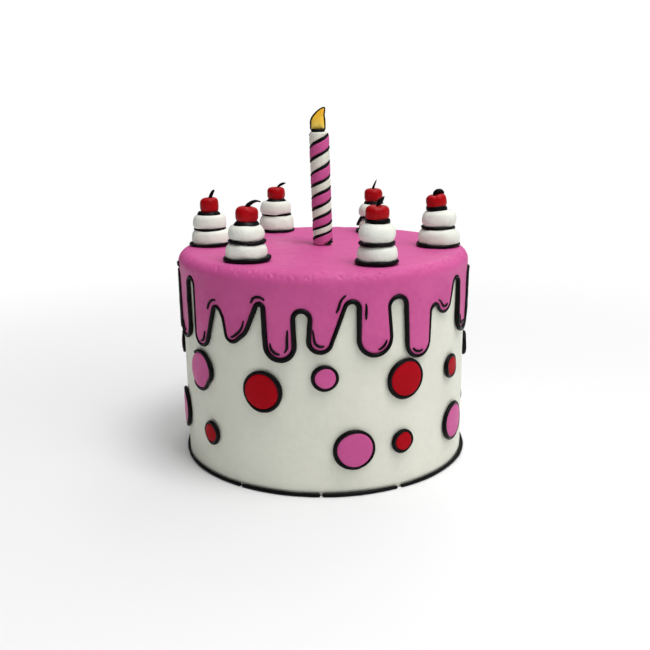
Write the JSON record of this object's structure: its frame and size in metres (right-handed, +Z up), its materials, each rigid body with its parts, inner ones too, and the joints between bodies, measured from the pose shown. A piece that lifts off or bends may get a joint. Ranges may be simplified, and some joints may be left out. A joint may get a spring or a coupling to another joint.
{
  "type": "birthday cake",
  "caption": "Tall round birthday cake with pink drip icing, black piped outlines, dots on the wall, fruit-topped cream dollops and a twisted candle.",
  "frame": {"origin": "middle of the cake's underside, on the surface it stands on", "axes": "+Z up the cake to the candle's flame, -Y towards the side seen from the front, +X to the right of that view"},
  "size_m": [0.2165, 0.2172, 0.2528],
  "materials": {
    "white_fondant": "satin sugar paste",
    "pink_fondant": "satin sugar paste",
    "red_fondant": "satin sugar paste",
    "black_fondant": "satin sugar paste",
    "cream_fondant": "smooth sugar paste",
    "red_fruit": "glossy",
    "golden_flame": "satin sugar paste"
  },
  "bodies": {
    "root": {"base_rope_1": "black_fondant", "base_rope_2": "black_fondant", "base_rope_3": "black_fondant", "base_rope_4": "black_fondant", "base_rope_5": "black_fondant", "base_rope_6": "black_fondant", "base_rope_7": "black_fondant", "cake_body": "white_fondant", "candle_collar": "black_fondant", "candle_flame": "golden_flame", "candle_flame_outline": "black_fondant", "candle_foot_line": "black_fondant", "candle_line_1": "black_fondant", "candle_line_2": "black_fondant", "candle_strand_pink": "pink_fondant", "candle_strand_white": "white_fondant", "dollop_1_foot_rope": "black_fondant", "dollop_1_fruit": "red_fruit", "dollop_1_lower_tier": "cream_fondant", "dollop_1_upper_tier": "cream_fondant", "dollop_2_foot_rope": "black_fondant", "dollop_2_fruit": "red_fruit", "dollop_2_lower_tier": "cream_fondant", "dollop_2_upper_tier": "cream_fondant", "dollop_3_foot_rope": "black_fondant", "dollop_3_fruit": "red_fruit", "dollop_3_lower_tier": "cream_fondant", "dollop_3_upper_tier": "cream_fondant", "dollop_4_foot_rope": "black_fondant", "dollop_4_fruit": "red_fruit", "dollop_4_lower_tier": "cream_fondant", "dollop_4_upper_tier": "cream_fondant", "dollop_5_foot_rope": "black_fondant", "dollop_5_fruit": "red_fruit", "dollop_5_lower_tier": "cream_fondant", "dollop_5_upper_tier": "cream_fondant", "dollop_6_foot_rope": "black_fondant", "dollop_6_fruit": "red_fruit", "dollop_6_lower_tier": "cream_fondant", "dollop_6_upper_tier": "cream_fondant", "dot_pink_1": "pink_fondant", "dot_pink_10": "pink_fondant", "dot_pink_11": "pink_fondant", "dot_pink_14": "pink_fondant", "dot_pink_15": "pink_fondant", "dot_pink_18": "pink_fondant", "dot_pink_3": "pink_fondant", "dot_pink_7": "pink_fondant", "dot_pink_9": "pink_fondant", "dot_red_12": "red_fondant", "dot_red_13": "red_fondant", "dot_red_16": "red_fondant", "dot_red_17": "red_fondant", "dot_red_2": "red_fondant", "dot_red_4": "red_fondant", "dot_red_5": "red_fondant", "dot_red_6": "red_fondant", "dot_red_8": "red_fondant", "drip_outline": "black_fondant", "pink_icing": "pink_fondant"}
  },
  "joints": []
}
